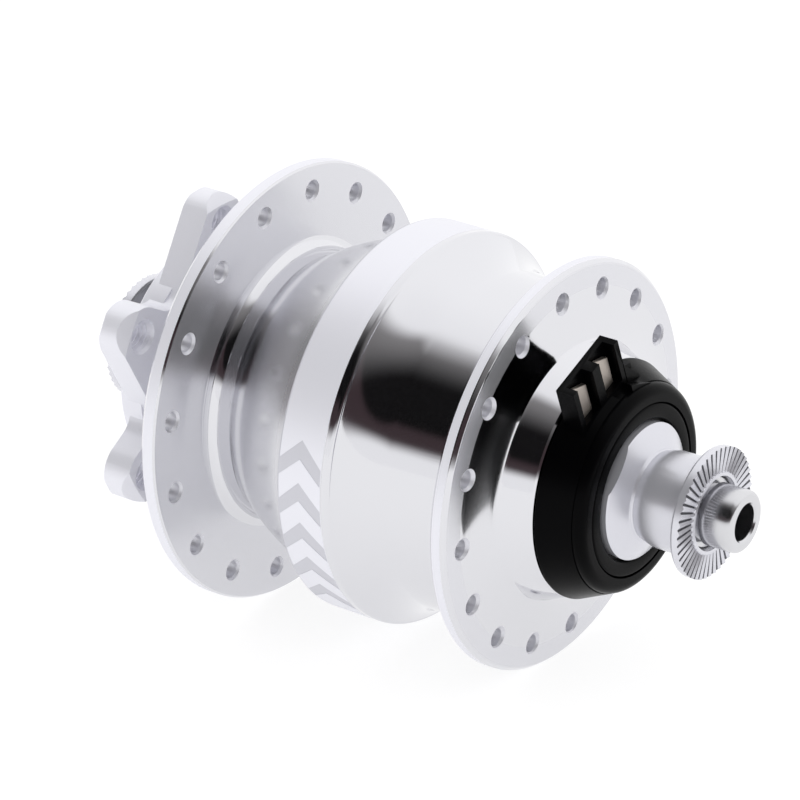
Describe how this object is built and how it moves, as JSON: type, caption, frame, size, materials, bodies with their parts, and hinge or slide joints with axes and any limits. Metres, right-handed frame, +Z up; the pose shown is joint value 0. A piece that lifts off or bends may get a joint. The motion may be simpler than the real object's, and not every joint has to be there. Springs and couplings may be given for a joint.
{
  "type": "hub dynamo",
  "caption": "Front bicycle hub dynamo with polished drum, two spoke flanges, six-bolt disc mount, toothed locknuts and a plug connector on the axle.",
  "frame": {"origin": "centre of the axle bore, midway between the two locknut faces", "axes": "+Y along the axle towards the disc brake side, +X the direction of travel, +Z up; the plug connector is at -Y"},
  "size_m": [0.066, 0.1096, 0.066],
  "materials": {
    "polished_aluminium": "polished and anodised",
    "turned_aluminium": "fine turned, anodised",
    "axle_steel": "turned, bright",
    "dark_steel": "oxide, satin",
    "bearing_steel": "ground",
    "cage_brass": "pressed",
    "black_plastic": "moulded, semi-gloss",
    "bobbin_plastic": "moulded",
    "terminal_metal": "tin plated",
    "copper_wire": "enamelled",
    "wire_insulation": "extruded",
    "magnet_coating": "nickel plated",
    "seal_rubber": "matt"
  },
  "bodies": {
    "axle_assembly": {"axle": "axle_steel", "left_locknut": "turned_aluminium", "right_locknut": "turned_aluminium", "axle_collar": "turned_aluminium", "left_sleeve": "dark_steel", "right_sleeve": "dark_steel", "connector_body": "black_plastic", "connector_ring": "black_plastic", "terminal_left": "terminal_metal", "terminal_right": "terminal_metal", "coil_leads": "wire_insulation", "stator_core": "dark_steel", "coil_bobbin": "bobbin_plastic", "coil_winding": "copper_wire", "claw_plate_left": "dark_steel", "claw_plate_right": "dark_steel", "left_bearing_inner": "bearing_steel", "right_bearing_inner": "bearing_steel"},
    "rotating_shell": {"hub_shell": "polished_aluminium", "end_shell": "polished_aluminium", "magnet_yoke": "dark_steel", "magnets": "magnet_coating", "left_bearing_outer": "bearing_steel", "right_bearing_outer": "bearing_steel", "left_dust_cover": "seal_rubber", "right_seal": "seal_rubber"},
    "left_balls": {"left_bearing_balls": "bearing_steel", "left_bearing_cage": "cage_brass"},
    "right_balls": {"right_bearing_balls": "bearing_steel", "right_bearing_cage": "cage_brass"}
  },
  "joints": [
    {"name": "hub_spin", "type": "hinge", "parent": "axle_assembly", "child": "rotating_shell", "pos_m": [0, 0, 0], "axis": [0, 1, 0], "continuous": true},
    {"name": "left_balls_roll", "type": "hinge", "parent": "axle_assembly", "child": "left_balls", "pos_m": [0, 0.0375, 0], "axis": [0, 1, 0], "continuous": true},
    {"name": "right_balls_roll", "type": "hinge", "parent": "axle_assembly", "child": "right_balls", "pos_m": [0, -0.0265, 0], "axis": [0, 1, 0], "continuous": true}
  ],
  "couplings": [
    {"joint": "left_balls_roll", "follows": "hub_spin", "ratio": 0.5907},
    {"joint": "right_balls_roll", "follows": "hub_spin", "ratio": 0.5907}
  ]
}
